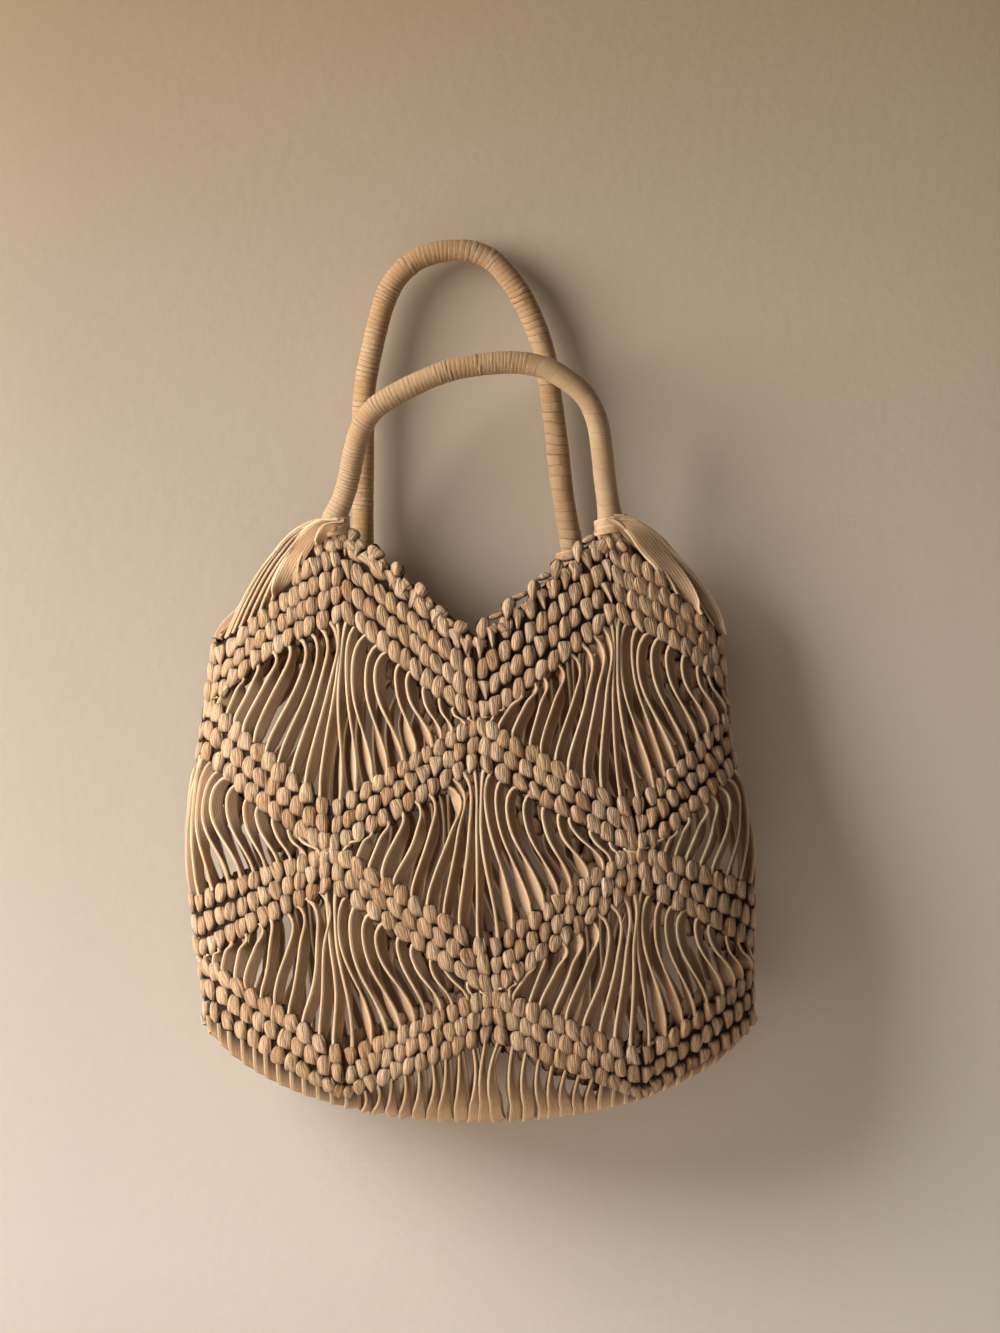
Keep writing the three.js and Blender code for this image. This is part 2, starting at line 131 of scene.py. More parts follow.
def section(column, down):
    """A column of the sections at a height, on a smooth curve through its rows."""
    values = SECTION_ROWS[column]
    slopes = SECTION_SLOPES[column]
    here = np.clip(down, SECTION_DOWN[0], SECTION_DOWN[-1])
    i = np.searchsorted(SECTION_DOWN[1:-1], here, side="left")
    span = SECTION_DOWN[i + 1] - SECTION_DOWN[i]
    s = (here - SECTION_DOWN[i]) / span
    rise = s * s * (3 - 2 * s)
    swell = span * (slopes[i] * s * (1 - s) ** 2 - slopes[i + 1] * s * s * (1 - s))
    return values[i] * (1 - rise) + values[i + 1] * rise + swell


ARC_ANGLES = np.arange(ARC_STEPS + 1) / ARC_STEPS * 2 * np.pi
ARC_MIDDLES = (ARC_ANGLES[1:] + ARC_ANGLES[:-1]) / 2
ARC_PIECES = np.hypot(BODY_WIDTH * np.cos(ARC_MIDDLES), BODY_DEPTH * np.sin(ARC_MIDDLES))
ARC_LENGTHS = np.concatenate([[0], np.cumsum(ARC_PIECES)])
GIRTH = ARC_LENGTHS[-1] * np.pi / ARC_STEPS


def angle_at(turn):
    turn = np.asarray(turn, float)
    whole = np.floor(turn)
    return whole * 2 * np.pi + np.interp((turn - whole) * ARC_LENGTHS[-1], ARC_LENGTHS, ARC_ANGLES)


def turn_at(angle):
    angle = np.asarray(angle, float)
    whole = np.floor(angle / (2 * np.pi))
    return whole + np.interp(angle - whole * 2 * np.pi, ARC_ANGLES, ARC_LENGTHS) / ARC_LENGTHS[-1]


def keel_down(across):
    inside = np.maximum(0, 1 - np.abs(across) ** KEEL["squareness"])
    return KEEL["side"] + (1 - KEEL["side"]) * inside ** KEEL["fullness"]


def wall_at_angle(angle, down):
    """The middle of the net's wall at an angle round it and a height."""
    angle, down = np.broadcast_arrays(np.asarray(angle, float), np.asarray(down, float))
    across = np.sin(angle)
    ahead = np.cos(angle)
    behind = np.maximum(0, -ahead)
    above = np.clip((keel_down(across) - down) * BODY_HEIGHT, 0, KEEL_RADIUS)
    turned_in = np.sqrt(np.maximum(0, 1 - (1 - above / KEEL_RADIUS) ** 2))
    reach = BODY_DEPTH * np.where(ahead > 0, section("front", down), section("back", down)) * turned_in
    sink = BACK_SINK * behind * np.maximum(0, 1 - down)
    narrowing = 1 - section("pinch", down) * behind
    sideways = section("shift", down) + section("width", down) / 2 * across * narrowing
    x = BODY_WIDTH * (sideways + section("sway", down) * behind)
    y = BACK_FACE - BODY_DEPTH * section("back", down) - ahead * reach
    z = -ROOT_DROP - down * BODY_HEIGHT - sink
    return np.stack([x, y, z], axis=-1)


def wall_axes(turn, down):
    """Place on the wall with its directions to the right, downwards and outwards."""
    angle = angle_at(np.asarray(turn, float) + PATTERN_TURN)
    down = np.asarray(down, float)
    small = 0.002
    place = wall_at_angle(angle, down)
    right = unit(wall_at_angle(angle + small, down) - wall_at_angle(angle - small, down))
    downward = unit(wall_at_angle(angle, down + small) - wall_at_angle(angle, down - small))
    outward = unit(np.cross(downward, right))
    return place, right, downward, outward


def edge_down(edge, turn):
    """Height of a band's edge at a turn of the pattern."""
    middle, root, side, side_bow, flat_between, flat_at_root = edge
    column = np.asarray(turn, float) / (2 * COLUMN_STEP)
    nearest = np.round(column)
    towards_root = np.abs(column - nearest) * 2
    at_side = nearest % 2 != 0
    between = np.where(at_side, side, middle)
    first = CROSSING_SHARE if flat_between else 0
    last = 1 - (CROSSING_SHARE if flat_at_root else 0)
    share = np.clip((towards_root - first) / (last - first), 0, 1)
    bow = np.where(at_side, side_bow * np.sin(np.pi * share), 0)
    return between + (root - between) * share + bow


class Batch:
    """Grids of points that make one joined mesh, with tape coordinates in millimetres.

    Each point has three tones: how pale the piece is, how much wear and painted highlight the place has, and
    how much painted shade it has where it lies deep.
    """

    def __init__(self):
        self.points = []
        self.corners = []
        self.tape = []
        self.tones = []
        self.count = 0

    def add(self, points, tape, tones, closed=False):
        """points is (pieces, rows, columns, 3). A closed grid joins its last column to its first."""
        pieces, rows, columns = points.shape[:3]
        spans = columns if closed else columns - 1
        ids = np.arange(pieces * rows * columns).reshape(pieces, rows, columns) + self.count
        if closed:
            ids = np.concatenate([ids, ids[:, :, :1]], axis=2)
        quads = [ids[:, :-1, :-1], ids[:, :-1, 1:], ids[:, 1:, 1:], ids[:, 1:, :-1]]
        self.corners.append(np.stack(quads, axis=-1).reshape(-1, 4))
        wide = tape[:, :, : spans + 1]
        places = [wide[:, :-1, :-1], wide[:, :-1, 1:], wide[:, 1:, 1:], wide[:, 1:, :-1]]
        self.tape.append(np.stack(places, axis=-2).reshape(-1, 2))
        self.points.append(points.reshape(-1, 3))
        self.tones.append(np.broadcast_to(tones, points.shape).reshape(-1, 3))
        self.count += pieces * rows * columns

    def make(self, name, material, body="root"):
        mesh = bpy.data.meshes.new(name)
        points = np.concatenate(self.points) * MM
        corners = np.concatenate(self.corners)
        mesh.vertices.add(len(points))
        mesh.vertices.foreach_set("co", points.astype(np.float32).ravel())
        mesh.loops.add(corners.size)
        mesh.loops.foreach_set("vertex_index", corners.astype(np.int32).ravel())
        mesh.polygons.add(len(corners))
        mesh.polygons.foreach_set("loop_start", np.arange(0, corners.size, 4, dtype=np.int32))
        mesh.polygons.foreach_set("use_smooth", np.ones(len(corners), dtype=bool))
        mesh.update(calc_edges=True)
        layer = mesh.uv_layers.new(name="tape")
        layer.uv.foreach_set("vector", np.concatenate(self.tape).astype(np.float32).ravel())
        tones = np.concatenate(self.tones)
        tones = np.concatenate([tones, np.ones((len(tones), 1))], axis=1)
        shade = mesh.attributes.new("tone", "FLOAT_COLOR", "POINT")
        shade.data.foreach_set("color", tones.astype(np.float32).ravel())
        mesh.materials.append(material)
        piece = bpy.data.objects.new(name, mesh)
        bpy.context.scene.collection.objects.link(piece)
        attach(piece, body)
        return piece


# Materials.


def node_maker(material):
    material.use_nodes = True
    tree = material.node_tree
    tree.nodes.clear()

    def add(kind, inputs=None, **settings):
        node = tree.nodes.new(kind)
        for key, value in settings.items():
            setattr(node, key, value)
        for key, value in (inputs or {}).items():
            if isinstance(value, bpy.types.NodeSocket):
                tree.links.new(value, node.inputs[key])
            else:
                node.inputs[key].default_value = value
        return node

    return tree, add


def blend_colour(add, share, first, second, kind="MIX"):
    node = add("ShaderNodeMix", data_type="RGBA", blend_type=kind)
    tree = node.id_data
    for key, value in ((0, share), (6, first), (7, second)):
        if isinstance(value, bpy.types.NodeSocket):
            tree.links.new(value, node.inputs[key])
        else:
            node.inputs[key].default_value = value
    return node.outputs[2]


def linear(red, green, blue):
    """A colour from its 0 to 255 values on screen."""
    def one(c):
        c = c / 255
        return c / 12.92 if c <= 0.04045 else ((c + 0.055) / 1.055) ** 2.4

    return (one(red), one(green), one(blue), 1.0)


def tape_material(name, pale, middle, deep, rib, stitch, bump, sheen, streaks):
    """Soft knitted tape: ribs and stitches, strands along it, mottled dye, wear with a painted highlight, and
    painted shade in the knit's valleys and in the depths.
    """
    material = bpy.data.materials.new(name)
    tree, add = node_maker(material)

    def calc(operation, a, b=0.0, c=0.0):
        return add("ShaderNodeMath", {0: a, 1: b, 2: c}, operation=operation).outputs[0]

    def clamped(value):
        return add("ShaderNodeClamp", {"Value": value}).outputs[0]

    tape = add("ShaderNodeUVMap", uv_map="tape").outputs["UV"]
    parts = add("ShaderNodeSeparateXYZ", {0: tape})
    tone = add("ShaderNodeAttribute", attribute_name="tone", attribute_type="GEOMETRY")
    tones = add("ShaderNodeSeparateColor", {0: tone.outputs["Color"]})
    place = add("ShaderNodeTexCoord").outputs["Object"]
    mottle = add("ShaderNodeTexNoise", {"Vector": place, "Scale": 55.0, "Detail": 3.0}).outputs["Fac"]
    fibre = add("ShaderNodeTexNoise", {"Vector": place, "Scale": 900.0, "Detail": 2.0}).outputs["Fac"]

    across = calc("MULTIPLY", parts.outputs["X"], 2 * math.pi / rib)
    along = calc("MULTIPLY", parts.outputs["Y"], 2 * math.pi / stitch)
    ribs = calc("SINE", across)
    stitches = calc("SINE", calc("ADD", along, calc("MULTIPLY", ribs, 1.4)))
    knit = calc("ADD", calc("MULTIPLY", ribs, 0.6), calc("MULTIPLY", stitches, 0.4))
    knit_share = calc("MULTIPLY_ADD", knit, 0.5, 0.5)

    tint = calc("ADD", calc("MULTIPLY", mottle, 0.9), calc("SUBTRACT", tones.outputs[0], 0.95))
    tint = clamped(calc("ADD", tint, 0.5))
    colour = blend_colour(add, tint, middle, pale)
    # Painted highlight, with some wear: the second tone lightens towards a paler colour.
    lit = calc("MULTIPLY", tones.outputs[1], 0.75)
    colour = blend_colour(add, lit, colour, tuple(min(1, c * 1.25) for c in pale[:3]) + (1,))
    # Painted shade: the third tone darkens towards the deep colour.
    colour = blend_colour(add, tones.outputs[2], colour, deep)
    # Painted shade in the low valleys of the knit.
    valley = calc("MULTIPLY", calc("SUBTRACT", 1.0, knit_share), 0.62)
    colour = blend_colour(add, valley, colour, middle, "MULTIPLY")
    drawn_out = calc("MULTIPLY", parts.outputs["Y"], 0.14)
    drawn = add("ShaderNodeCombineXYZ", {0: parts.outputs["X"], 1: drawn_out, 2: 0.0}).outputs[0]
    strand_inputs = {"Vector": drawn, "Scale": 0.95, "Detail": 2.5, "Roughness": 0.62}
    strand = add("ShaderNodeTexNoise", strand_inputs).outputs["Fac"]
    dark_strand = calc("MULTIPLY", calc("SUBTRACT", 0.48, strand), 4.0 * streaks)
    colour = blend_colour(add, clamped(dark_strand), colour, deep)
    light_strand = calc("MULTIPLY", calc("SUBTRACT", strand, 0.56), 4.0 * streaks)
    colour = blend_colour(add, clamped(light_strand), colour, pale)
    fleck = calc("MULTIPLY", calc("GREATER_THAN", fibre, 0.66), 0.18)
    colour = blend_colour(add, fleck, colour, deep)

    height = calc("ADD", calc("MULTIPLY", knit_share, 0.6), calc("MULTIPLY", fibre, 0.7))
    height = calc("ADD", height, calc("MULTIPLY", strand, 5.0 * streaks))
    normal = add("ShaderNodeBump", {"Strength": bump, "Distance": 0.0007, "Height": height}).outputs[0]
    shader = add("ShaderNodeBsdfPrincipled", {"Base Color": colour, "Normal": normal})
    shader.inputs["Roughness"].default_value = 0.88
    shader.inputs["Specular IOR Level"].default_value = 0.25
    shader.inputs["Sheen Weight"].default_value = sheen
    shader.inputs["Sheen Roughness"].default_value = 0.45
    out = add("ShaderNodeOutputMaterial")
    tree.links.new(shader.outputs[0], out.inputs[0])
    return material


CORD_COLOURS = (linear(250, 224, 192), linear(205, 160, 116), linear(48, 24, 8))
BINDING_COLOURS = (linear(206, 184, 152), linear(178, 138, 92), linear(72, 47, 26))
# Painted shade: the carriers are coloured far darker than the cord, for the gaps between the knots.
CARRIER_PAINTED_SHADE_COLOURS = (linear(120, 82, 50), linear(95, 62, 36), linear(34, 19, 9))
KNIT = {"rib": 1.1, "stitch": 1.3}
FINE_KNIT = {"rib": 1.0, "stitch": 1.2}
CORD = tape_material("knitted_cord", *CORD_COLOURS, **KNIT, bump=0.6, sheen=0.1, streaks=0.12)
KNOTTED = tape_material("knotted_cord", *CORD_COLOURS, **KNIT, bump=0.8, sheen=0.1, streaks=0.7)
BINDING = tape_material("handle_binding", *BINDING_COLOURS, **FINE_KNIT, bump=0.4, sheen=0.08, streaks=0.15)
CORE = tape_material("carrier_cord_in_painted_shade", *CARRIER_PAINTED_SHADE_COLOURS, **KNIT, bump=0.5, sheen=0.0, streaks=0.2)

# Knots.

rng = np.random.default_rng(7)

# Outlines of the knots seen from outside, top to bottom: left and right sides, height down the wall, and how
# much lower the right side lies, in units of OUTLINE_UNIT. In regular rows, petals and shields belong to legs
# that fall to the right, barrels and scales to the others. The rest, with a few petals, make the rim's untidy
# edge, its row ends and its knots at the handle roots.
OUTLINE_T = [-1, -0.8, -0.5, 0, 0.5, 0.8, 1]
OUTLINES = {
    "petal": (
        [-2.6, -4.8, -6.5, -7.2, -6.7, -4.9, -1.8],
        [0.8, 2.3, 4.0, 5.4, 6.2, 6.4, 5.6],
        [-10.4, -8.9, -5.6, 0, 5.0, 8.0, 9.8],
        [0.3, 0.5, 0.8, 1.2, 1.6, 1.6, 1.0],
    ),
    "shield": (
        [-2.4, -4.3, -5.6, -6.3, -6.2, -5.6, -4.0],
        [2.5, 4.1, 5.0, 5.8, 6.4, 6.5, 5.4],
        [-10.2, -8.9, -5.5, 0, 5.0, 7.8, 8.9],
        [0.2, 0.4, 0.6, 0.8, 1.2, 1.4, 1.4],
    ),
    "barrel": (
        [-1.8, -3.8, -5.4, -6.0, -6.0, -5.0, -3.0],
        [3.6, 5.3, 6.3, 6.5, 5.7, 4.5, 2.6],
        [-9.5, -8.3, -5.2, 0, 5.0, 7.9, 9.3],
        [-0.4, -0.6, -0.6, -0.5, -0.4, -0.4, -0.3],
    ),
    "scale": (
        [-4.4, -5.8, -5.9, -5.7, -5.2, -4.6, -3.0],
        [3.0, 5.2, 6.4, 6.6, 5.2, 2.8, 0.4],
        [-9.4, -8.4, -5.4, 0, 5.0, 8.0, 9.8],
        [-0.6, -0.8, -0.8, -0.8, -1.0, -1.2, -1.0],
    ),
    "wedge": (
        [-5.2, -6.2, -5.4, -3.4, -1.7, -0.6, 0.2],
        [5.0, 6.4, 6.0, 4.6, 3.4, 2.6, 1.8],
        [-8.5, -7.4, -4.8, 0, 5.0, 8.6, 10],
        [0.2, 0.3, 0.3, 0.2, 0.1, 0, 0],
    ),
    "diamond": (
        [-0.8, -3.2, -5.4, -6.2, -4.0, -2.0, -0.6],
        [1.4, 4.6, 6.2, 5.6, 3.2, 1.6, 0.6],
        [-9.5, -8, -5.0, 0, 5.4, 8.8, 10.5],
        [0, 0, 0, 0, 0, 0, 0],
    ),
    "bead": (
        [-2.6, -4.8, -6.6, -7.2, -6.2, -4.4, -2.0],
        [2.8, 5.0, 6.4, 7.0, 6.8, 5.2, 2.6],
        [-5.8, -5.0, -3.2, 0, 3.2, 5.0, 5.8],
        [0, 0, 0, 0, 0, 0, 0],
    ),
}
KINDS = list(OUTLINES)
OUTLINE_UNIT = 0.65


def knot_places(edges, rim):
    """Knots of a band as rows: turn, down, kind, width and length shares, rotation, raise, height share."""
    upper, lower = edges
    rows = []
    for leg in range(8):
        probe = (leg + np.array([0.3, 0.7])) / 8
        ends = edge_down(lower, probe)
        falling = ends[1] > ends[0]
        inner = leg % 4 in (0, 3)
        columns = 12 if rim and inner else (11 if falling else 12)
        pitch = GIRTH / 8 / columns
        if rim:
            step = INNER_RIM_ROW if inner else OUTER_RIM_ROW
            slant = 0.1 if inner else 0.3
        else:
            slant = 0.5 if falling else 0.27
        if not falling:
            slant = -slant
        for c in range(columns):
            start = (leg + (c + 0.5) / columns) / 8
            height = float(edge_down(lower, start) - edge_down(upper, start)) * BODY_HEIGHT
            from_end = min(c + 0.5, columns - c - 0.5)
            if rim:
                regular = height - (UNTIDY_ROW if inner else 0)
                count = max(1, int(round(regular / step)))
                if inner:
                    step = regular / count
            else:
                count = 3
                step = height / count
            for r in range(count):
                turn = start + slant * pitch * (count / 2 - r - 0.5) * min(1, from_end / 2) / GIRTH
                down = float(edge_down(lower, turn)) - (r + 0.5) * step / BODY_HEIGHT
                if falling:
                    kind = "petal" if rim or rng.random() < 0.3 else "shield"
                else:
                    kind = "barrel" if rng.random() < 0.62 else "scale"
                messy = rim and inner and r == count - 1
                if messy and c % 2 == (1 if leg in (0, 4) else 0):
                    kind = "wedge"
                at_end = from_end < 0.9
                if rim and at_end and inner and rng.random() < 0.5:
                    kind = "wedge"
                if falling:
                    length = (1.19 if inner else 1.14) if rim else 1.08
                else:
                    length = (1.17 if inner else 1.08) if rim else 1.05
                width = pitch / OUTLINE_PITCH * (1.2 if falling else 1.08)
                if kind == "wedge":
                    width *= 1.1
                rotation = rng.normal(0, 0.08 if falling else 0.12) + (0.22 * rng.normal() if messy else 0)
                if at_end:
                    width *= 0.88
                rows.append((turn, down, KINDS.index(kind), width, length, rotation, 0.0, 1.0))
            if rim and inner and c % 2 == 0:
                run = 2 * pitch / GIRTH
                slope = math.atan2(ends[1] - ends[0], (probe[1] - probe[0]) * GIRTH / BODY_HEIGHT)
                if falling:
                    pattern = (
                        (0.25, 0.011, "bead", 1.12, 1.2, slope, -0.6, 1.2),
                        (0.65, 0.017, "bead", 0.95, 0.7, slope + 0.25, 0.0, 0.9),
                        (0.1, 0.034, "petal", 0.85, 0.75, slope + 0.3, 0.5, 0.8),
                        (0.5, 0.031, "wedge", 0.95, 0.8, 0.3, 0.4, 0.9),
                    )
                else:
                    pattern = (
                        (0.25, 0.008, "diamond", 1.1, 1.2, 0.15, 0.4, 1.1),
                        (0.72, 0.004, "bead", 1.1, 0.5, slope, 0.0, 0.7),
                        (0.6, 0.026, "bead", 0.95, 0.9, slope, 0.0, 0.9),
                        (0.05, 0.032, "petal", 0.85, 0.7, -0.5, 0.6, 0.8),
                    )
                for across, below, kind, width, length, rotation, raised, tall in pattern:
                    spot = start + across * run
                    edge = float(edge_down(upper, spot))
                    turned = rotation + rng.normal(0, 0.12)
                    place = edge + below + rng.normal(0, 0.002)
                    rows.append((spot, place, KINDS.index(kind), width, length, turned, raised, tall))
    if rim:
        for root in (-COLUMN_STEP, COLUMN_STEP, 3 * COLUMN_STEP, 5 * COLUMN_STEP):
            for across, below, width, length, rotation in (
                (-0.004, 0.012, 1.1, 1.3, 0.5),
                (0.004, 0.014, 1.1, 1.3, -0.4),
                (0.0, 0.03, 1.0, 1.2, 0.1),
                (-0.009, 0.034, 1.0, 1.2, 0.5),
                (0.009, 0.034, 1.0, 1.2, -0.5),
            ):
                rows.append((root + across, below, KINDS.index("bead"), width, length, rotation, 1.0, 1.1))
    return np.array(rows, float)


def knots(batch, places, side, fine):
    """Each knot as a bunched tape bent over its carrier, with creases along it."""
    turn, down, kind, width, length, rotation, lift, tall = places.T
    kind = kind.astype(int)
    count = len(turn)
    rows, columns = (11, 13) if fine else (6, 7)
    near_middle = np.exp(-((((turn + 0.25) % 0.5 - 0.25) / 0.045) ** 2))
    turn = turn - 0.008 * near_middle * (1 - smooth(down, 0.18, 0.3))
    place, right, downward, outward = wall_axes(turn, down)
    outward = outward * side
    width = width * rng.uniform(0.94, 1.06, count)
    length = length * rng.uniform(0.94, 1.07, count)
    tall = tall * rng.uniform(0.8, 1.2, count)
    nudge = rng.normal(0, 0.3, (count, 2))
    taper = rng.normal(-0.08, 0.17, (count, 1, 1)).clip(-0.35, 0.3)
    skew = rng.normal(0.0, 0.13, (count, 1, 1)).clip(-0.25, 0.25)

    bend = np.linspace(-1, 1, rows) * math.radians(97)
    roll = np.linspace(-1, 1, columns) * math.radians(98)
    t = np.sign(bend) * np.abs(np.sin(bend)) ** 0.75
    t = np.where(np.abs(bend) > math.pi / 2, np.sign(bend), t)
    s = np.sign(roll) * np.abs(np.sin(roll)) ** 0.75
    arch = np.clip(np.cos(bend), -0.12, 1)
    crown = np.clip(np.cos(roll), -0.12, 1)
    table = np.zeros((len(KINDS), 4, rows))
    for i, name in enumerate(KINDS):
        for j in range(4):
            table[i, j] = np.interp(t, OUTLINE_T, OUTLINES[name][j])
    left, rightmost, fall, tilt = (table[kind, j][:, :, None] for j in range(4))
    grid_s = s[None, None, :]
    x = (left + rightmost) / 2 + (rightmost - left) / 2 * grid_s
    y = fall + tilt * grid_s
    x = x * KNOT_WIDENING * width[:, None, None] * OUTLINE_UNIT * (1 + taper * t[None, :, None])
    y = y * KNOT_SHORTENING * length[:, None, None] * OUTLINE_UNIT + skew * x
    turned = rotation[:, None, None]
    x, y = (
        x * np.cos(turned) - y * np.sin(turned) + nudge[:, 0, None, None],
        x * np.sin(turned) + y * np.cos(turned) + nudge[:, 1, None, None],
    )

    arch_part = np.sign(arch) * np.abs(arch) ** 0.55
    crown_part = np.sign(crown) * np.abs(crown) ** 0.6
    height = np.minimum(arch_part[None, :, None], crown_part[None, None, :])
    height = 0.45 * height + 0.55 * arch_part[None, :, None] * np.clip(crown_part[None, None, :], 0, 1)
    height = np.where((arch_part[None, :, None] < 0) | (crown_part[None, None, :] < 0), -0.18, height)
    height = np.broadcast_to(height, x.shape).copy()
    # Creases run from the apex to the foot, because the tape is gathered there.
    grid_t = np.broadcast_to(t[None, :, None], x.shape)
    wide_s = np.broadcast_to(grid_s, x.shape)
    lines = np.zeros(x.shape)
    for middle, spread, strength in ((-0.5, 0.16, 0.14), (0.05, 0.15, 0.2), (0.5, 0.14, 0.2)):
        start = middle + rng.uniform(-0.22, 0.22, (count, 1, 1))
        lean = rng.uniform(-0.3, 0.3, (count, 1, 1))
        depth = rng.uniform(0.2, 1.2, (count, 1, 1)) * strength
        crease = depth * np.exp(-(((wide_s - start - lean * grid_t) / spread) ** 2)) * (height > 0)
        height = height - crease
        lines = lines + crease
    # A fold makes two flat faces that meet along the knot, plainest where the edge is untidy.
    fold = rng.uniform(-0.5, 0.25, (count, 1, 1))
    folded = np.where(kind >= KINDS.index("wedge"), 0.42, 0.2)[:, None, None]
    folded = folded * rng.uniform(0.5, 1.5, (count, 1, 1))
    height = height - folded * (np.abs(wide_s - fold - 0.25 * grid_t) - 0.35) * (height > 0.1)
    twist = rng.uniform(0, 6, (2, count, 1, 1))
    waves = 0.09 * np.sin(2.6 * wide_s + twist[0]) * np.sin(2.2 * grid_t + twist[1])
    height = height + waves * (height > 0.1)

    slope = np.where(kind == KINDS.index("petal"), 0.14, 0.07)[:, None, None]
    w = CORE_HALF + lift[:, None, None] + KNOT_HEIGHT * tall[:, None, None] * height - slope * x
    points = (
        place[:, None, None, :]
        + right[:, None, None, :] * x[..., None]
        + downward[:, None, None, :] * y[..., None]
        + outward[:, None, None, :] * w[..., None]
    )
    if side < 0:
        points = points[:, :, ::-1]
    beside = wide_s * 4.0 + rng.uniform(0, 9, (count, 1, 1))
    tape = np.stack([beside, y], axis=-1)
    # Painted shade: the depth darkens a knot's foot, its creases and its lower right side, which is in shade
    # in the photo.
    depth = np.clip(1.1 - height * 1.25, 0, 1) ** 1.1 + lines * 2.2
    depth = np.clip(depth + 0.6 * np.clip(wide_s * 0.8 + grid_t * 0.6 - 0.3, 0, 1), 0, 1)
    pale = np.broadcast_to(rng.normal(0.5, 0.18, (count, 1, 1)), depth.shape)
    # Painted highlight on the tops of the knots.
    wear_and_highlight = np.clip((height - 0.75) * 1.5, 0, 1) * 0.7
    tones = np.stack([pale, wear_and_highlight, depth], axis=-1)
    batch.add(points, tape, tones)


def core(batch, edges, rim):
    """The carrier cords behind the knots, as one sheet on each face of the band, coloured dark as painted
    shade for the gaps between the knots.
    """
    upper, lower = edges
    turns = np.linspace(0, 1, 265)
    inner = np.abs((turns * 2 + 0.5) % 1 - 0.5) < 0.24
    top = edge_down(upper, turns) + np.where(rim & inner, CORE_DEEP_TUCK, CORE_TUCK) / BODY_HEIGHT
    bottom = edge_down(lower, turns) - CORE_DEEP_TUCK / BODY_HEIGHT
    shares = np.linspace(0, 1, 7)[None, :]
    down = top[:, None] * (1 - shares) + bottom[:, None] * shares
    place, _, _, outward = wall_axes(np.broadcast_to(turns[:, None], down.shape), down)
    for side in (1, -1):
        points = place + outward * CORE_HALF * side
        tape = np.stack([down * BODY_HEIGHT, np.broadcast_to(turns[:, None] * GIRTH, down.shape)], axis=-1)
        # Painted shade: the sheet gets a deep tone.
        tones = np.broadcast_to(np.array([0.3, 0.0, 0.75]), points.shape)
        if side > 0:
            points = points[::-1]
            tape = tape[::-1]
        batch.add(points[None], tape[None], tones[None])


# Flat cords.

RING_ACROSS = np.array([-1, -0.9, -0.45, 0.45, 0.9, 1, 0.9, 0.45, -0.45, -0.9])
RING_THICK = np.array([0, 0.85, 0.8, 0.8, 0.85, 0, -0.85, -0.8, -0.8, -0.85])


def tapes(batch, line, wide, width, thickness, depth):
    """Flat cords along lines. line and wide are (pieces, steps, 3), and wide points to the front edge."""
    pieces, steps = line.shape[:2]
    along = unit(np.gradient(line, axis=1))
    wide = unit(wide - along * np.sum(wide * along, axis=-1, keepdims=True))
    thick = np.cross(along, wide)
    width = np.broadcast_to(width, (pieces, steps))[:, :, None]
    thickness = np.broadcast_to(thickness, (pieces, steps))[:, :, None]
    a = RING_ACROSS[None, None, :] * width / 2
    b = RING_THICK[None, None, :] * thickness / 2
    points = line[:, :, None, :] + wide[:, :, None, :] * a[..., None] + thick[:, :, None, :] * b[..., None]
    run = np.cumsum(np.linalg.norm(np.gradient(line, axis=1), axis=-1), axis=1)
    offsets = rng.uniform(0, 50, (pieces, 1))
    around = np.concatenate([RING_ACROSS[:6], 2 - RING_ACROSS[6:], [3.0]]) * TAPE_WIDTH / 2
    shape = (pieces, steps, len(around))
    u = np.broadcast_to(around[None, None, :], shape)
    v = np.broadcast_to((run + offsets)[:, :, None], shape)
    full = points.shape[:3]
    pale = np.broadcast_to(rng.normal(0.5, 0.1, pieces)[:, None, None], full)
    # Edges are paler, partly from wear and partly as a painted highlight. The painted shade given as depth
    # lies less on them.
    wear_and_highlight = np.clip((np.abs(RING_ACROSS) - 0.6) / 0.35, 0, 1) * EDGE_WEAR_AND_HIGHLIGHT
    wear_and_highlight = np.broadcast_to(wear_and_highlight[None, None, :], full)
    painted_shade = np.broadcast_to(depth, (pieces, steps))[:, :, None] * (1 - 0.9 * wear_and_highlight / EDGE_WEAR_AND_HIGHLIGHT)
    batch.add(points, np.stack([u, v], axis=-1), np.stack([pale, wear_and_highlight, painted_shade], axis=-1), closed=True)


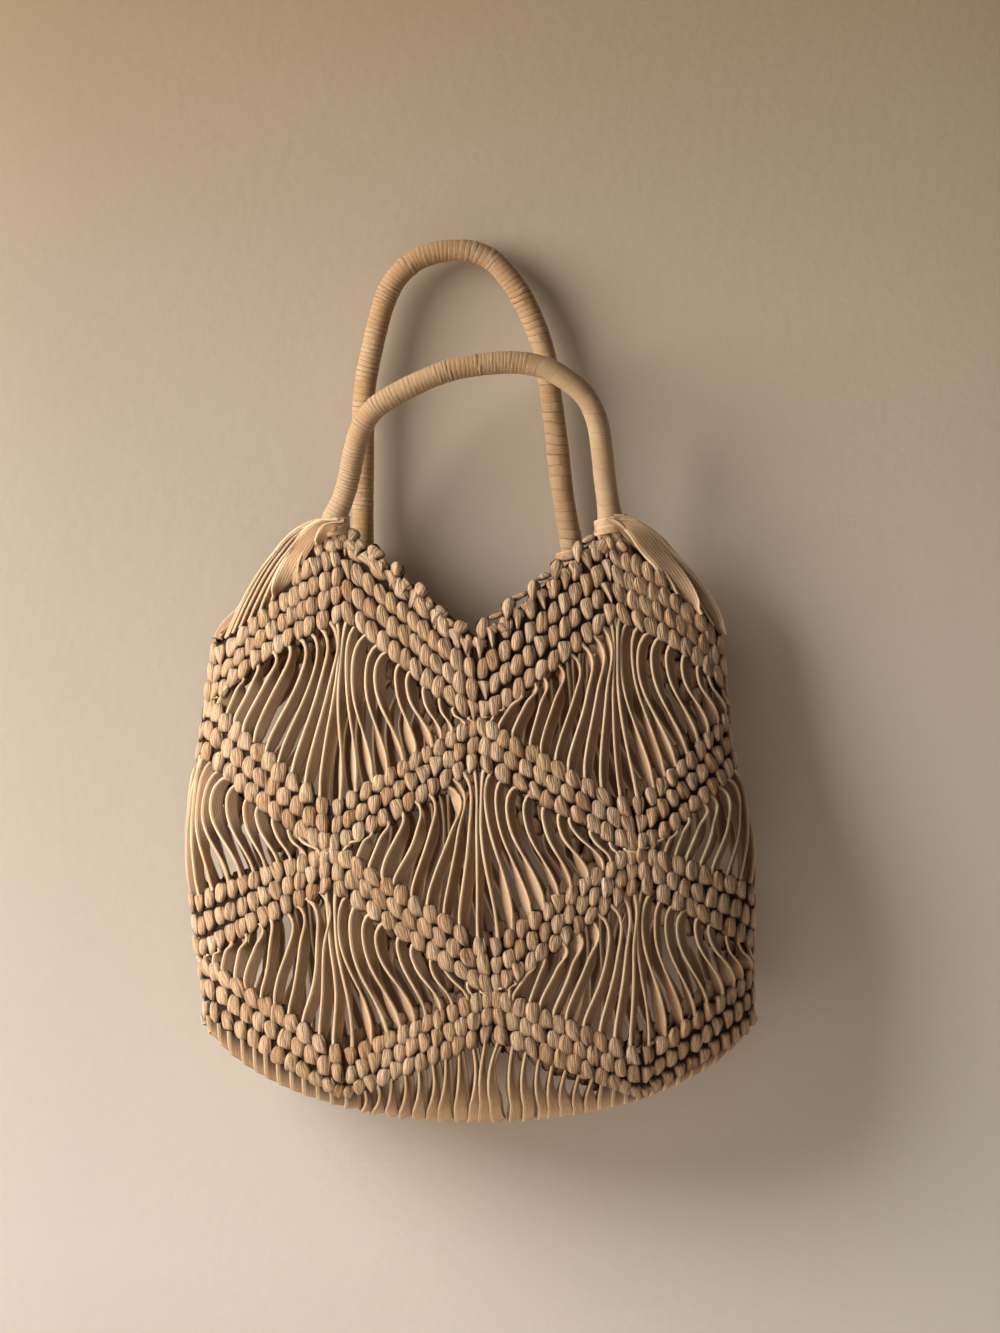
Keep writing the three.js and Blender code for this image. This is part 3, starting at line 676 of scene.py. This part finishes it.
def wall_cords(batch, above, below, first_column):
    """The flat cords on edge in every window between two bands."""
    q = np.linspace(0, 1, 21)[None, :]
    offsets = []
    middles = []
    for k in range(4):
        for n in range(2 * CORDS_PER_LEG):
            offsets.append((n + 0.5) / CORDS_PER_LEG - 1)
            middles.append((first_column + 2 * k) * COLUMN_STEP)
    offset = np.array(offsets)[:, None]
    middle_turn = np.array(middles)[:, None]
    count = len(offset)
    lean = 0.3 * (1 - np.abs(offset)) + rng.normal(0, 0.02, (count, 1))
    top_turn = middle_turn + offset * (1 - lean) * COLUMN_STEP
    bottom_turn = middle_turn + offset * (1 + lean) * COLUMN_STEP
    bulge = 0.1 * rng.uniform(0.85, 1.3, (count, 1))
    swing = np.sign(offset) * bulge * np.sin(np.pi * np.minimum(0.72, 1.5 * np.abs(offset)))
    top_down = edge_down(above, top_turn) - CORD_TUCK / BODY_HEIGHT
    bottom_down = edge_down(below, bottom_turn) + CORD_TUCK / BODY_HEIGHT
    tall = (bottom_down - top_down) * BODY_HEIGHT
    swing = swing * np.clip((tall - 22) / 60, 0, 1)
    turn = top_turn + (bottom_turn - top_turn) * smooth(q, -0.15, 1.1)
    turn = turn - swing * np.sin(np.pi * q**0.62) * COLUMN_STEP
    wave = rng.normal(0, 0.8, (count, 1)) * np.clip(tall / 60, 0, 1)
    wave = wave * np.sin(2 * np.pi * q + rng.uniform(0, 6, (count, 1)))
    turn = turn + wave / GIRTH
    down = top_down + (bottom_down - top_down) * q
    place, right, _, outward = wall_axes(turn, down)
    # The left half of a window shows its right-hand faces. The right half turns over on its way down.
    right_half = smooth(offset, -0.12, 0.12)
    broad = rng.uniform(0.5, 1.7, (count, 1))
    left_turn = -0.85 + rng.normal(0, 0.1, (count, 1)) + broad * (1 - smooth(q, 0.08, 0.42))
    right_turn = -0.9 + rng.uniform(0.9, 1.7, (count, 1)) * smooth(q, 0.3, 0.85)
    right_turn = right_turn + rng.normal(0, 0.1, (count, 1))
    turned = left_turn * (1 - right_half) + right_turn * right_half
    ends = np.clip(1 - q / 0.12, 0, 1) + np.clip(1 - (1 - q) / 0.12, 0, 1)
    turned = turned * (1 - 0.3 * ends) - 0.25 * ends
    wide = outward * np.cos(turned)[..., None] + right * np.sin(turned)[..., None]
    width = TAPE_WIDTH * rng.uniform(0.92, 1.08, (count, 1)) * (1 - 0.35 * ends)
    thickness = TAPE_THICKNESS * rng.uniform(0.9, 1.15, (count, 1)) * (1 + 0.5 * ends)
    # Painted shade: a cord is darker the less its face is turned to the light, and darker at its ends.
    lit = smooth(turned, -0.4, 0.7)
    tapes(batch, place, wide, width, thickness, depth=0.56 - 0.42 * lit + 0.12 * ends)


def bottom_cords(batch):
    """The flat cords that run from the front's bottom band under the bag and up its back."""
    lower = EDGES["bottom"][1]
    turns = (np.arange(-28, 28) + 0.5) / 88
    steps = 12
    lines = []
    wides = []
    lains = []
    for turn in turns:
        first_angle = float(angle_at(turn + PATTERN_TURN))
        across = math.sin(first_angle)
        if math.cos(first_angle) < 0.03:
            continue
        front_angle = math.asin(across)
        keel = float(keel_down(across))
        line = []
        wide = []
        # Near the ends the band almost reaches the keel, and the cords lie flat against the underside.
        angles = (front_angle, math.pi - front_angle)
        edges = [float(edge_down(lower, turn_at(angle) - PATTERN_TURN)) for angle in angles]
        heights = [max(1.5, (keel - (edge - CORD_TUCK / BODY_HEIGHT)) * BODY_HEIGHT) for edge in edges]
        lain = 1 - float(smooth(min(heights), 8, 20))
        lains.append(lain)
        nearby = np.array([front_angle + 0.03, front_angle - 0.03])
        beside = wall_at_angle(nearby, keel_down(np.sin(nearby)))
        along = unit((beside[1] - beside[0])[None])[0]
        flat = rng.uniform(0.2, 0.9)
        jitter = rng.normal(0, 0.011)
        slip = rng.normal(0, 0.007) * (1 - lain)
        for back, angle, height in zip((False, True), angles, heights):
            first = math.asin(max(0, 1 - height / KEEL_RADIUS))
            straight = max(0, height - KEEL_RADIUS)
            bent = KEEL_RADIUS * (math.pi / 2 - first)
            reach = np.linspace(0, straight + bent, steps)
            tilt = first + np.clip(reach - straight, 0, None) / KEEL_RADIUS
            in_bend = KEEL_RADIUS * (1 - np.sin(np.minimum(tilt, math.pi / 2)))
            above = np.where(reach < straight, height - reach, in_bend)
            q = reach / reach[-1]
            hook = 0.016 * np.sin(np.pi * np.clip(q / 0.55, 0, 1)) * (-1 if across > 0 else 0.6)
            aside = (jitter * np.sin(np.pi * q) + hook) * (1 - lain) + slip * smooth(q, 0.1, 0.7)
            side = angle + aside * (-1 if back else 1)
            place = wall_at_angle(side, keel - above / BODY_HEIGHT)
            place = place + np.array([0, 0, 1.2]) * smooth(q, 0.5, 1)[:, None]
            share = 0.12 + smooth(q, 0.05, 0.75) * (0.88 if back else 0.5 + 0.36 * flat)
            outward = np.array([0.0, 1.0 if back else -1.0, 0.0])
            below = np.array([0.0, 0.0, -1.0])
            tipped = (q * math.pi / 2)[:, None]
            face = unit(outward * np.cos(tipped) + below * np.sin(tipped))
            turned = (share * (1 - lain) + 0.93 * lain) * math.pi / 2
            lying = np.array([-1.0, 0, 0]) * (1 - lain) + along * lain
            direction = face * np.cos(turned)[:, None] + lying[None] * np.sin(turned)[:, None]
            if back:
                place = place[::-1][1:]
                direction = direction[::-1][1:]
            line.append(place)
            wide.append(direction)
        lines.append(np.concatenate(line))
        wides.append(np.concatenate(wide))
    line = np.array(lines)
    wide = np.array(wides)
    q = np.linspace(0, 1, line.shape[1])[None, :]
    # Painted shade: dark near the front's knots, lighter under the bag, darker again up the back, and darker
    # on the front half of cords that lie flat.
    shade = 0.22 + 0.6 * np.clip(1 - q / 0.22, 0, 1)
    shade = shade - 0.15 * smooth(q, 0.2, 0.35) + 0.35 * smooth(q, 0.42, 0.5)
    shade = shade + 0.25 * np.array(lains)[:, None] * (1 - smooth(q, 0.3, 0.5))
    width = TAPE_WIDTH * (0.66 + 0.34 * smooth(q, 0.05, 0.3) + 0.3 * smooth(q, 0.5, 0.6))
    width = width + (LAIN_WIDTH - width) * np.array(lains)[:, None]
    width = width * rng.uniform(0.9, 1.12, (len(line), 1))
    tapes(batch, line, wide, width, TAPE_THICKNESS, depth=shade)


# Handles.


def curve_through(points, per_span=24):
    """A centripetal curve through points."""
    points = np.asarray(points, float)
    padded = np.concatenate([[2 * points[0] - points[1]], points, [2 * points[-1] - points[-2]]])
    found = []
    for i in range(1, len(padded) - 2):
        p0, p1, p2, p3 = padded[i - 1 : i + 3]
        d0, d1, d2 = (math.sqrt(max(np.linalg.norm(b - a), 1e-6)) for a, b in ((p0, p1), (p1, p2), (p2, p3)))
        m1 = ((p1 - p0) / d0 - (p2 - p0) / (d0 + d1) + (p2 - p1) / d1) * d1
        m2 = ((p2 - p1) / d1 - (p3 - p1) / (d1 + d2) + (p3 - p2) / d2) * d1
        t = (np.arange(per_span) / per_span)[:, None]
        t2, t3 = t * t, t * t * t
        first = (2 * t3 - 3 * t2 + 1) * p1 + (t3 - 2 * t2 + t) * m1
        found.append(first + (-2 * t3 + 3 * t2) * p2 + (t3 - t2) * m2)
    found.append(points[-1:])
    return np.concatenate(found)


def resample(line, step):
    """Points at even steps along a line, with their lengths along it."""
    pieces = np.linalg.norm(np.diff(line, axis=0), axis=1)
    lengths = np.concatenate([[0], np.cumsum(pieces)])
    count = int(lengths[-1] / step) + 1
    at = np.linspace(0, lengths[-1], count)
    return np.stack([np.interp(at, lengths, line[:, k]) for k in range(3)], axis=-1), at


def carried_axes(line):
    """Two directions across a line that don't twist round it."""
    along = unit(np.gradient(line, axis=0))
    side = np.array([0.0, -1.0, 0.0])
    sides = []
    for direction in along:
        side = side - direction * np.dot(side, direction)
        side = side / np.linalg.norm(side)
        sides.append(side)
    first = np.array(sides)
    return first, np.cross(along, first)


def handle_line(route, left_turn, right_turn, top_z, lean):
    left = wall_axes(left_turn, 0.0)[0]
    right = wall_axes(right_turn, 0.0)[0]
    points = []
    for across, up in route:
        root = left + (right - left) * across
        seat = root[2] + SEAT_GAP
        forward = lean * float(smooth(up, 0.03, 1))
        points.append((root[0], root[1] - forward, seat + (top_z - seat) * up))
    return curve_through(points)


def bound_handle(batch, line, pitches, heights, flare, grey, lean_out):
    """A core bound with flat cord. pitches and heights are given at shares of the length."""
    line, at = resample(line, BINDING_STEP)
    line = line + np.array([-lean_out, 0, 0]) * np.exp(-((at / 22) ** 2))[:, None]
    for _ in range(12):
        line[1:-1] = (line[:-2] + line[1:-1] * 2 + line[2:]) / 4
    first, second = carried_axes(line)
    share = at / at[-1]
    pitch = np.interp(share, *zip(*pitches))
    ridge = np.interp(share, *zip(*heights))[:, None]
    uneven = 1 + 0.22 * np.sin(at / 9.7) * np.sin(at / 4.1 + 1) + 0.12 * np.sin(at / 23.0)
    phase = (np.cumsum(uneven / pitch) * (at[1] - at[0]))[:, None]
    sides = 40
    theta = (np.arange(sides) / sides * 2 * np.pi)[None, :]
    wobble = 0.05 * np.sin(theta * 2 + phase * 0.7) + 0.04 * np.sin(theta * 3 - phase * 1.3)
    wound = phase + theta / (2 * np.pi) + wobble
    turn_index = np.floor(wound).astype(int)
    f = wound - turn_index
    turn_seed = np.sin(turn_index * 12.9898) * 43758.5453
    turn_random = turn_seed - np.floor(turn_seed)
    lap = np.minimum(f / 0.14, 1) ** 0.8 * (1 - 0.55 * np.clip((f - 0.14) / 0.86, 0, 1) ** 1.5)
    seam = np.exp(-((np.minimum(f, 1 - f) * pitch[:, None] / 0.35) ** 2))
    strong = 0.25 + 0.95 * turn_random**2
    radius = HANDLE_DIAMETER / 2 - 0.3 + ridge * (lap - 0.4) * strong
    radius = radius + 0.14 * (turn_random - 0.5) - 0.22 * seam * strong * np.minimum(1, ridge * 2)
    lumps = 0.12 * np.sin(at[:, None] / 17 + 2 * theta) + 0.1 * np.sin(at[:, None] / 11 - theta + 2)
    radius = radius + lumps
    near = np.minimum(at, at[-1] - at)[:, None]
    radius = radius * (1 + flare * np.exp(-((near / 11) ** 2)) - 0.14 * np.exp(-((near / 2) ** 2)))
    ring = first[:, None, :] * np.cos(theta)[..., None] + second[:, None, :] * np.sin(theta)[..., None]
    points = line[:, None, :] + ring * radius[..., None]
    wide_theta = np.arange(sides + 1) / sides * 2 * np.pi
    u = at[:, None] + wide_theta[None, :] / (2 * np.pi) * pitch[:, None]
    v = np.broadcast_to(wide_theta[None, :] * HANDLE_DIAMETER / 2, u.shape)
    tape = np.stack([u, v], axis=-1)
    root_share = grey * (np.exp(-at / 70) + np.exp(-(at[-1] - at) / 110))
    pale = 0.4 + 0.28 * (turn_random - 0.5) + 0.6 * root_share[:, None]
    # Painted highlight on the crest of each wrap, with wear near the roots.
    wear_and_highlight = np.clip(lap - 0.75, 0, 1) * 0.5 * strong + 0.2 * root_share[:, None]
    # Painted shade in the seams between the wraps.
    deep = np.clip(seam * strong * (0.35 + ridge * 0.8), 0, 1)
    tones = np.stack([pale, wear_and_highlight, deep], axis=-1)
    batch.add(points[None], tape[None], tones[None], closed=True)
    for index, centre in ((0, line[0]), (len(line) - 1, line[-1])):
        inner = np.stack([points[index], np.broadcast_to(centre, points[index].shape)])
        flat_tape = np.zeros((1, 2, sides + 1, 2))
        # The end caps carry painted shade.
        flat_tones = np.zeros((1, 2, sides, 3)) + np.array([0.3, 0, 0.5])
        if index == 0:
            inner = inner[::-1]
        batch.add(inner[None], flat_tape, flat_tones, closed=True)


def shoulder(batch, root_turn, way, spread, cords, flat, aside):
    """Flat cords from a handle root over the shoulder to the rim, one for each row of cords."""
    q = np.linspace(0, 1, 23)[None, :]
    foot, turned_at, width, head_lift, shade = np.array(cords, float).T
    share = 1 - (1 - foot) ** 1.6
    feet = (CROSSING_SHARE + (1 - 2 * CROSSING_SHARE) * share) * COLUMN_STEP
    start = root_turn + way * FAN_HEAD["width"] * (foot - FAN_HEAD["lap"])
    end = root_turn + way * feet
    landing = edge_down(EDGES["rim"][0], end) + SHOULDER_TUCK / BODY_HEIGHT
    head_down = FAN_HEAD["down"] + 0.014 + rng.uniform(-0.004, 0.004, len(foot))
    turn = start[:, None] + (end - start)[:, None] * q**spread
    down = head_down[:, None] + (landing - head_down)[:, None] * q**FAN_FALL
    settled = smooth(down, FAN_HEAD["clear"], FAN_HEAD["flush"])
    head = HANDLE_DIAMETER / 2 + 2.2 + head_lift[:, None] * 0.6
    head = head - flat * (2.0 + head_lift[:, None] * 0.6)
    out = head * (1 - settled) + (1 - flat) * head_lift[:, None] * np.sin(np.pi * q)
    place, right, _, outward = wall_axes(turn, down)
    place = place + outward * out[..., None]
    forward = right * way
    turned_at = np.where(flat, np.sign(turned_at) * np.maximum(np.abs(turned_at), 66), turned_at)
    turned = np.radians(turned_at)[:, None] * np.sin(np.pi * np.clip(q * 1.05, 0, 1)) ** 0.5 + 0.5 * (1 - q)
    turned = turned + flat * 0.6 * (1 - q) * np.sign(turned_at)[:, None]
    wide = outward * np.cos(turned)[..., None] + forward * np.sin(turned)[..., None]
    taper = 0.55 + 0.45 * smooth(q, 0, 0.35)
    thickness = TAPE_THICKNESS * (1.15 - 0.1 * taper)
    # Each cord carries its own painted shade.
    tapes(batch, place, wide, width[:, None] * taper, thickness, depth=shade[:, None])

    # A cord wound round the handle's foot over the heads of the others.
    foot_centre = wall_axes(root_turn, 0.0)[0] + np.array([-aside, 0, SEAT_GAP])
    wound = np.linspace(0, 3.4 * math.pi, 60) + rng.uniform(0, 6)
    reach = HANDLE_DIAMETER / 2 * 1.18 + 1.2
    rise = np.linspace(-4.0, 4.5, 60) + 1.3 * np.cos(wound)
    collar = foot_centre + np.stack([reach * np.cos(wound), reach * np.sin(wound), rise], axis=-1)
    upright = np.broadcast_to(np.array([0.0, 0.0, 1.0]), collar.shape)
    # The collar has a little painted shade.
    tapes(batch, collar[None], upright[None], 5.4, 1.7, depth=0.15)


# Bands, each with its knots, its carriers and the cords that hang from it.

HANGING = {"rim": ("second", 1), "second": ("third", 0), "third": ("bottom", 1)}
for name, edges in EDGES.items():
    knot_batch = Batch()
    places = knot_places(edges, name == "rim")
    knots(knot_batch, places, 1, True)
    knots(knot_batch, places, -1, False)
    piece = knot_batch.make(f"{name}_knots", KNOTTED)
    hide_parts(f"{name}_band")

    core_batch = Batch()
    core(core_batch, edges, name == "rim")
    core_batch.make(f"{name}_carriers_in_painted_shade", CORE)

    cord_batch = Batch()
    if name in HANGING:
        below, first_column = HANGING[name]
        wall_cords(cord_batch, edges[1], EDGES[below][0], first_column)
    else:
        bottom_cords(cord_batch)
    cord_batch.make(f"{name}_cords", CORD)

HANDLES = [
    {
        "name": "front",
        "left": -COLUMN_STEP,
        "right": COLUMN_STEP,
        "route": FRONT_HANDLE_ROUTE,
        "top": -ROOT_DROP + FRONT_HANDLE_RISE,
        "lean": FRONT_HANDLE_LEAN,
        "flare": 0.18,
        "lean_out": 4.0,
        "grey": 0.75,
        "pitches": [(0, 2.6), (0.3, 2.4), (0.42, 2.6), (0.58, 2.8), (0.61, 12), (1, 12)],
        "heights": [
            (0, 0.4), (0.3, 0.3), (0.38, 0.4), (0.43, 0.95), (0.57, 0.85), (0.6, 0.3), (0.64, 0.14), (1, 0.2),
        ],
    },
    {
        "name": "back",
        "left": 5 * COLUMN_STEP,
        "right": 3 * COLUMN_STEP,
        "route": BACK_HANDLE_ROUTE,
        "top": HANDLE_DIAMETER / 2,
        "lean": 0,
        "flare": 0.06,
        "lean_out": 0.0,
        "grey": 0.25,
        "pitches": [(0, 3.6), (0.35, 3.0), (0.62, 3.2), (0.68, 6.0), (1, 7.0)],
        "heights": [(0, 0.28), (0.3, 0.35), (0.37, 0.8), (0.6, 0.8), (0.68, 0.4), (0.8, 0.5), (1, 0.6)],
    },
]

# Rows of a shoulder: foot share, how far the cord is turned to lie flat in degrees, width, lift, painted
# shade.
SHOULDER_CORDS = {
    "left": [
        (0.06, 70, 9.0, 0.8, 0.2), (0.2, 55, 9.5, 0.2, 0.8), (0.38, 78, 13.0, 2.0, 0.1),
        (0.5, 24, 7.0, 0.2, 0.5), (0.6, 15, 7.0, 0.2, 0.5), (0.7, 12, 7.0, 0.4, 0.5),
        (0.8, 10, 7.0, 0.6, 0.45), (0.9, 8, 7.0, 0.8, 0.45), (1.0, 6, 7.0, 1.0, 0.4),
    ],
    "right": [
        (0.07, 20, 7.0, 0.2, 0.6), (0.2, 15, 7.0, 0.3, 0.6), (0.33, 40, 8.0, 0.4, 0.6),
        (0.5, 84, 15.0, 3.0, 0.4), (0.66, 10, 7.0, -1.0, 0.95), (0.82, 80, 14.0, 2.0, 0.5),
        (1.0, 60, 9.0, 0.5, 0.6),
    ],
}
for handle in HANDLES:
    line = handle_line(handle["route"], handle["left"], handle["right"], handle["top"], handle["lean"])
    batch = Batch()
    bound_handle(
        batch, line, handle["pitches"], handle["heights"], handle["flare"], handle["grey"], handle["lean_out"]
    )
    piece = batch.make(f"{handle['name']}_handle_binding", BINDING)
    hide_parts(f"{handle['name']}_handle")
    away = 1 if handle["name"] == "front" else -1
    for side, turn, way, spread in (
        ("left", handle["left"], -away, 0.65),
        ("right", handle["right"], away, 0.85),
    ):
        batch = Batch()
        aside = handle["lean_out"] if side == "left" else 0
        shoulder(batch, turn, way, spread, SHOULDER_CORDS[side], handle["name"] == "back", aside)
        piece = batch.make(f"{handle['name']}_{side}_shoulder", CORD)
        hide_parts(f"{handle['name']}_{side}_shoulder_cords")

# Stage, light and camera.

WALL_Y = 0.0165
WALL_REACH = 1.1
FLOOR_Z = -0.86
FLOOR_REACH = 3.0


def stage_material(name, colour, grain, right=None, top=None, top_right=None):
    """Painted plaster; where more colours are given, a gradient of painted light and shade. It is clear from
    behind, to hide nothing.
    """
    material = bpy.data.materials.new(name)
    tree, add = node_maker(material)
    place = add("ShaderNodeTexCoord").outputs["Object"]
    noise = add("ShaderNodeTexNoise", {"Vector": place, "Scale": grain, "Detail": 5.0}).outputs["Fac"]
    cloudy = add("ShaderNodeTexNoise", {"Vector": place, "Scale": 2.2, "Detail": 2.0}).outputs["Fac"]
    darker = tuple(c * 0.93 for c in colour[:3]) + (1,)
    shade = blend_colour(add, cloudy, darker, colour)
    if top:
        parts = add("ShaderNodeSeparateXYZ", {0: place})
        rise = add("ShaderNodeMapRange", {"Value": parts.outputs["Z"], "From Min": -0.65, "From Max": 0.2})
        aside = add("ShaderNodeMapRange", {"Value": parts.outputs["X"], "From Min": -0.25, "From Max": 0.3})
        # The gradient is painted light and shade.
        shade = blend_colour(add, aside.outputs[0], shade, right)
        upper = blend_colour(add, aside.outputs[0], top, top_right)
        shade = blend_colour(add, rise.outputs[0], shade, upper)
    normal = add("ShaderNodeBump", {"Strength": 0.12, "Distance": 0.002, "Height": noise}).outputs[0]
    shader = add("ShaderNodeBsdfPrincipled", {"Base Color": shade, "Normal": normal})
    shader.inputs["Roughness"].default_value = 0.8
    clear = add("ShaderNodeBsdfTransparent")
    facing = add("ShaderNodeNewGeometry").outputs["Backfacing"]
    mix = add("ShaderNodeMixShader", {0: facing, 1: shader.outputs[0], 2: clear.outputs[0]})
    out = add("ShaderNodeOutputMaterial")
    tree.links.new(mix.outputs[0], out.inputs[0])
    return material


def sheet(name, corners, material):
    mesh = bpy.data.meshes.new(name)
    mesh.from_pydata(corners, [], [(0, 1, 2, 3)])
    mesh.materials.append(material)
    found = bpy.data.objects.new(name, mesh)
    bpy.context.scene.collection.objects.link(found)
    return found


# Painted light and shade on the wall: darker and warmer towards the top, most at the top left, and lighter at
# the bottom right.
WALL_PAINTED_LIGHT_AND_SHADE = stage_material(
    "wall_painted_light_and_shade",
    linear(208, 200, 192),
    140.0,
    linear(232, 226, 216),
    linear(140, 120, 92),
    linear(170, 148, 118),
)
FLOOR_PAINT = stage_material("floor_paint", linear(222, 214, 203), 90.0)
wall = sheet(
    "wall",
    [
        (-WALL_REACH, WALL_Y, FLOOR_Z),
        (WALL_REACH, WALL_Y, FLOOR_Z),
        (WALL_REACH, WALL_Y, WALL_REACH),
        (-WALL_REACH, WALL_Y, WALL_REACH),
    ],
    WALL_PAINTED_LIGHT_AND_SHADE,
)
# The wall casts no shadow, so that the light behind it reaches the bag's back.
wall.visible_shadow = False
sheet(
    "floor",
    [
        (-FLOOR_REACH, WALL_Y - FLOOR_REACH, FLOOR_Z),
        (FLOOR_REACH, WALL_Y - FLOOR_REACH, FLOOR_Z),
        (FLOOR_REACH, FLOOR_REACH, FLOOR_Z),
        (-FLOOR_REACH, FLOOR_REACH, FLOOR_Z),
    ],
    FLOOR_PAINT,
)


def area_light(name, place, target, size, watts, colour):
    light = bpy.data.lights.new(name, "AREA")
    light.shape = "DISK"
    light.size = size
    light.energy = watts
    light.color = colour
    lamp = bpy.data.objects.new(name, light)
    lamp.location = place
    lamp.rotation_mode = "QUATERNION"
    lamp.rotation_quaternion = (Vector(target) - Vector(place)).to_track_quat("-Z", "Y")
    bpy.context.scene.collection.objects.link(lamp)


WARM = (1.0, 0.95, 0.88)
area_light("key", (-1.2, -0.62, 0.2), (-0.1, -0.03, -0.35), size=1.1, watts=38.0, colour=WARM)
area_light("low_fill", (-0.3, -1.6, -0.7), (0.05, 0.0, -0.6), size=1.2, watts=2.2, colour=WARM)
area_light("back_fill", (0.9, 1.5, 0.3), (0.0, 0.0, -0.35), size=1.4, watts=11.0, colour=(1.0, 0.96, 0.9))
bpy.context.scene.view_settings.view_transform = "Standard"
world = bpy.data.worlds.new("room")
bpy.context.scene.world = world
world.use_nodes = True
world.node_tree.nodes["Background"].inputs[0].default_value = (1.0, 0.95, 0.89, 1)
world.node_tree.nodes["Background"].inputs[1].default_value = 0.06

FRAME_HEIGHT = 0.866
FRAME_CENTRE = (0.029, -0.2655)
PLANE_Y = -0.045
DISTANCE = 4.6
SENSOR = 36
camera_data = bpy.data.cameras.new("camera")
camera_data.sensor_width = SENSOR
camera_data.lens = SENSOR / 2 / (FRAME_HEIGHT / 2 / DISTANCE)
camera_data.clip_start = 0.01
camera_data.clip_end = 50
camera = bpy.data.objects.new("camera", camera_data)
camera.location = (FRAME_CENTRE[0], PLANE_Y - DISTANCE, FRAME_CENTRE[1])
camera.rotation_euler = (math.pi / 2, 0, 0)
bpy.context.scene.collection.objects.link(camera)
bpy.context.scene.camera = camera
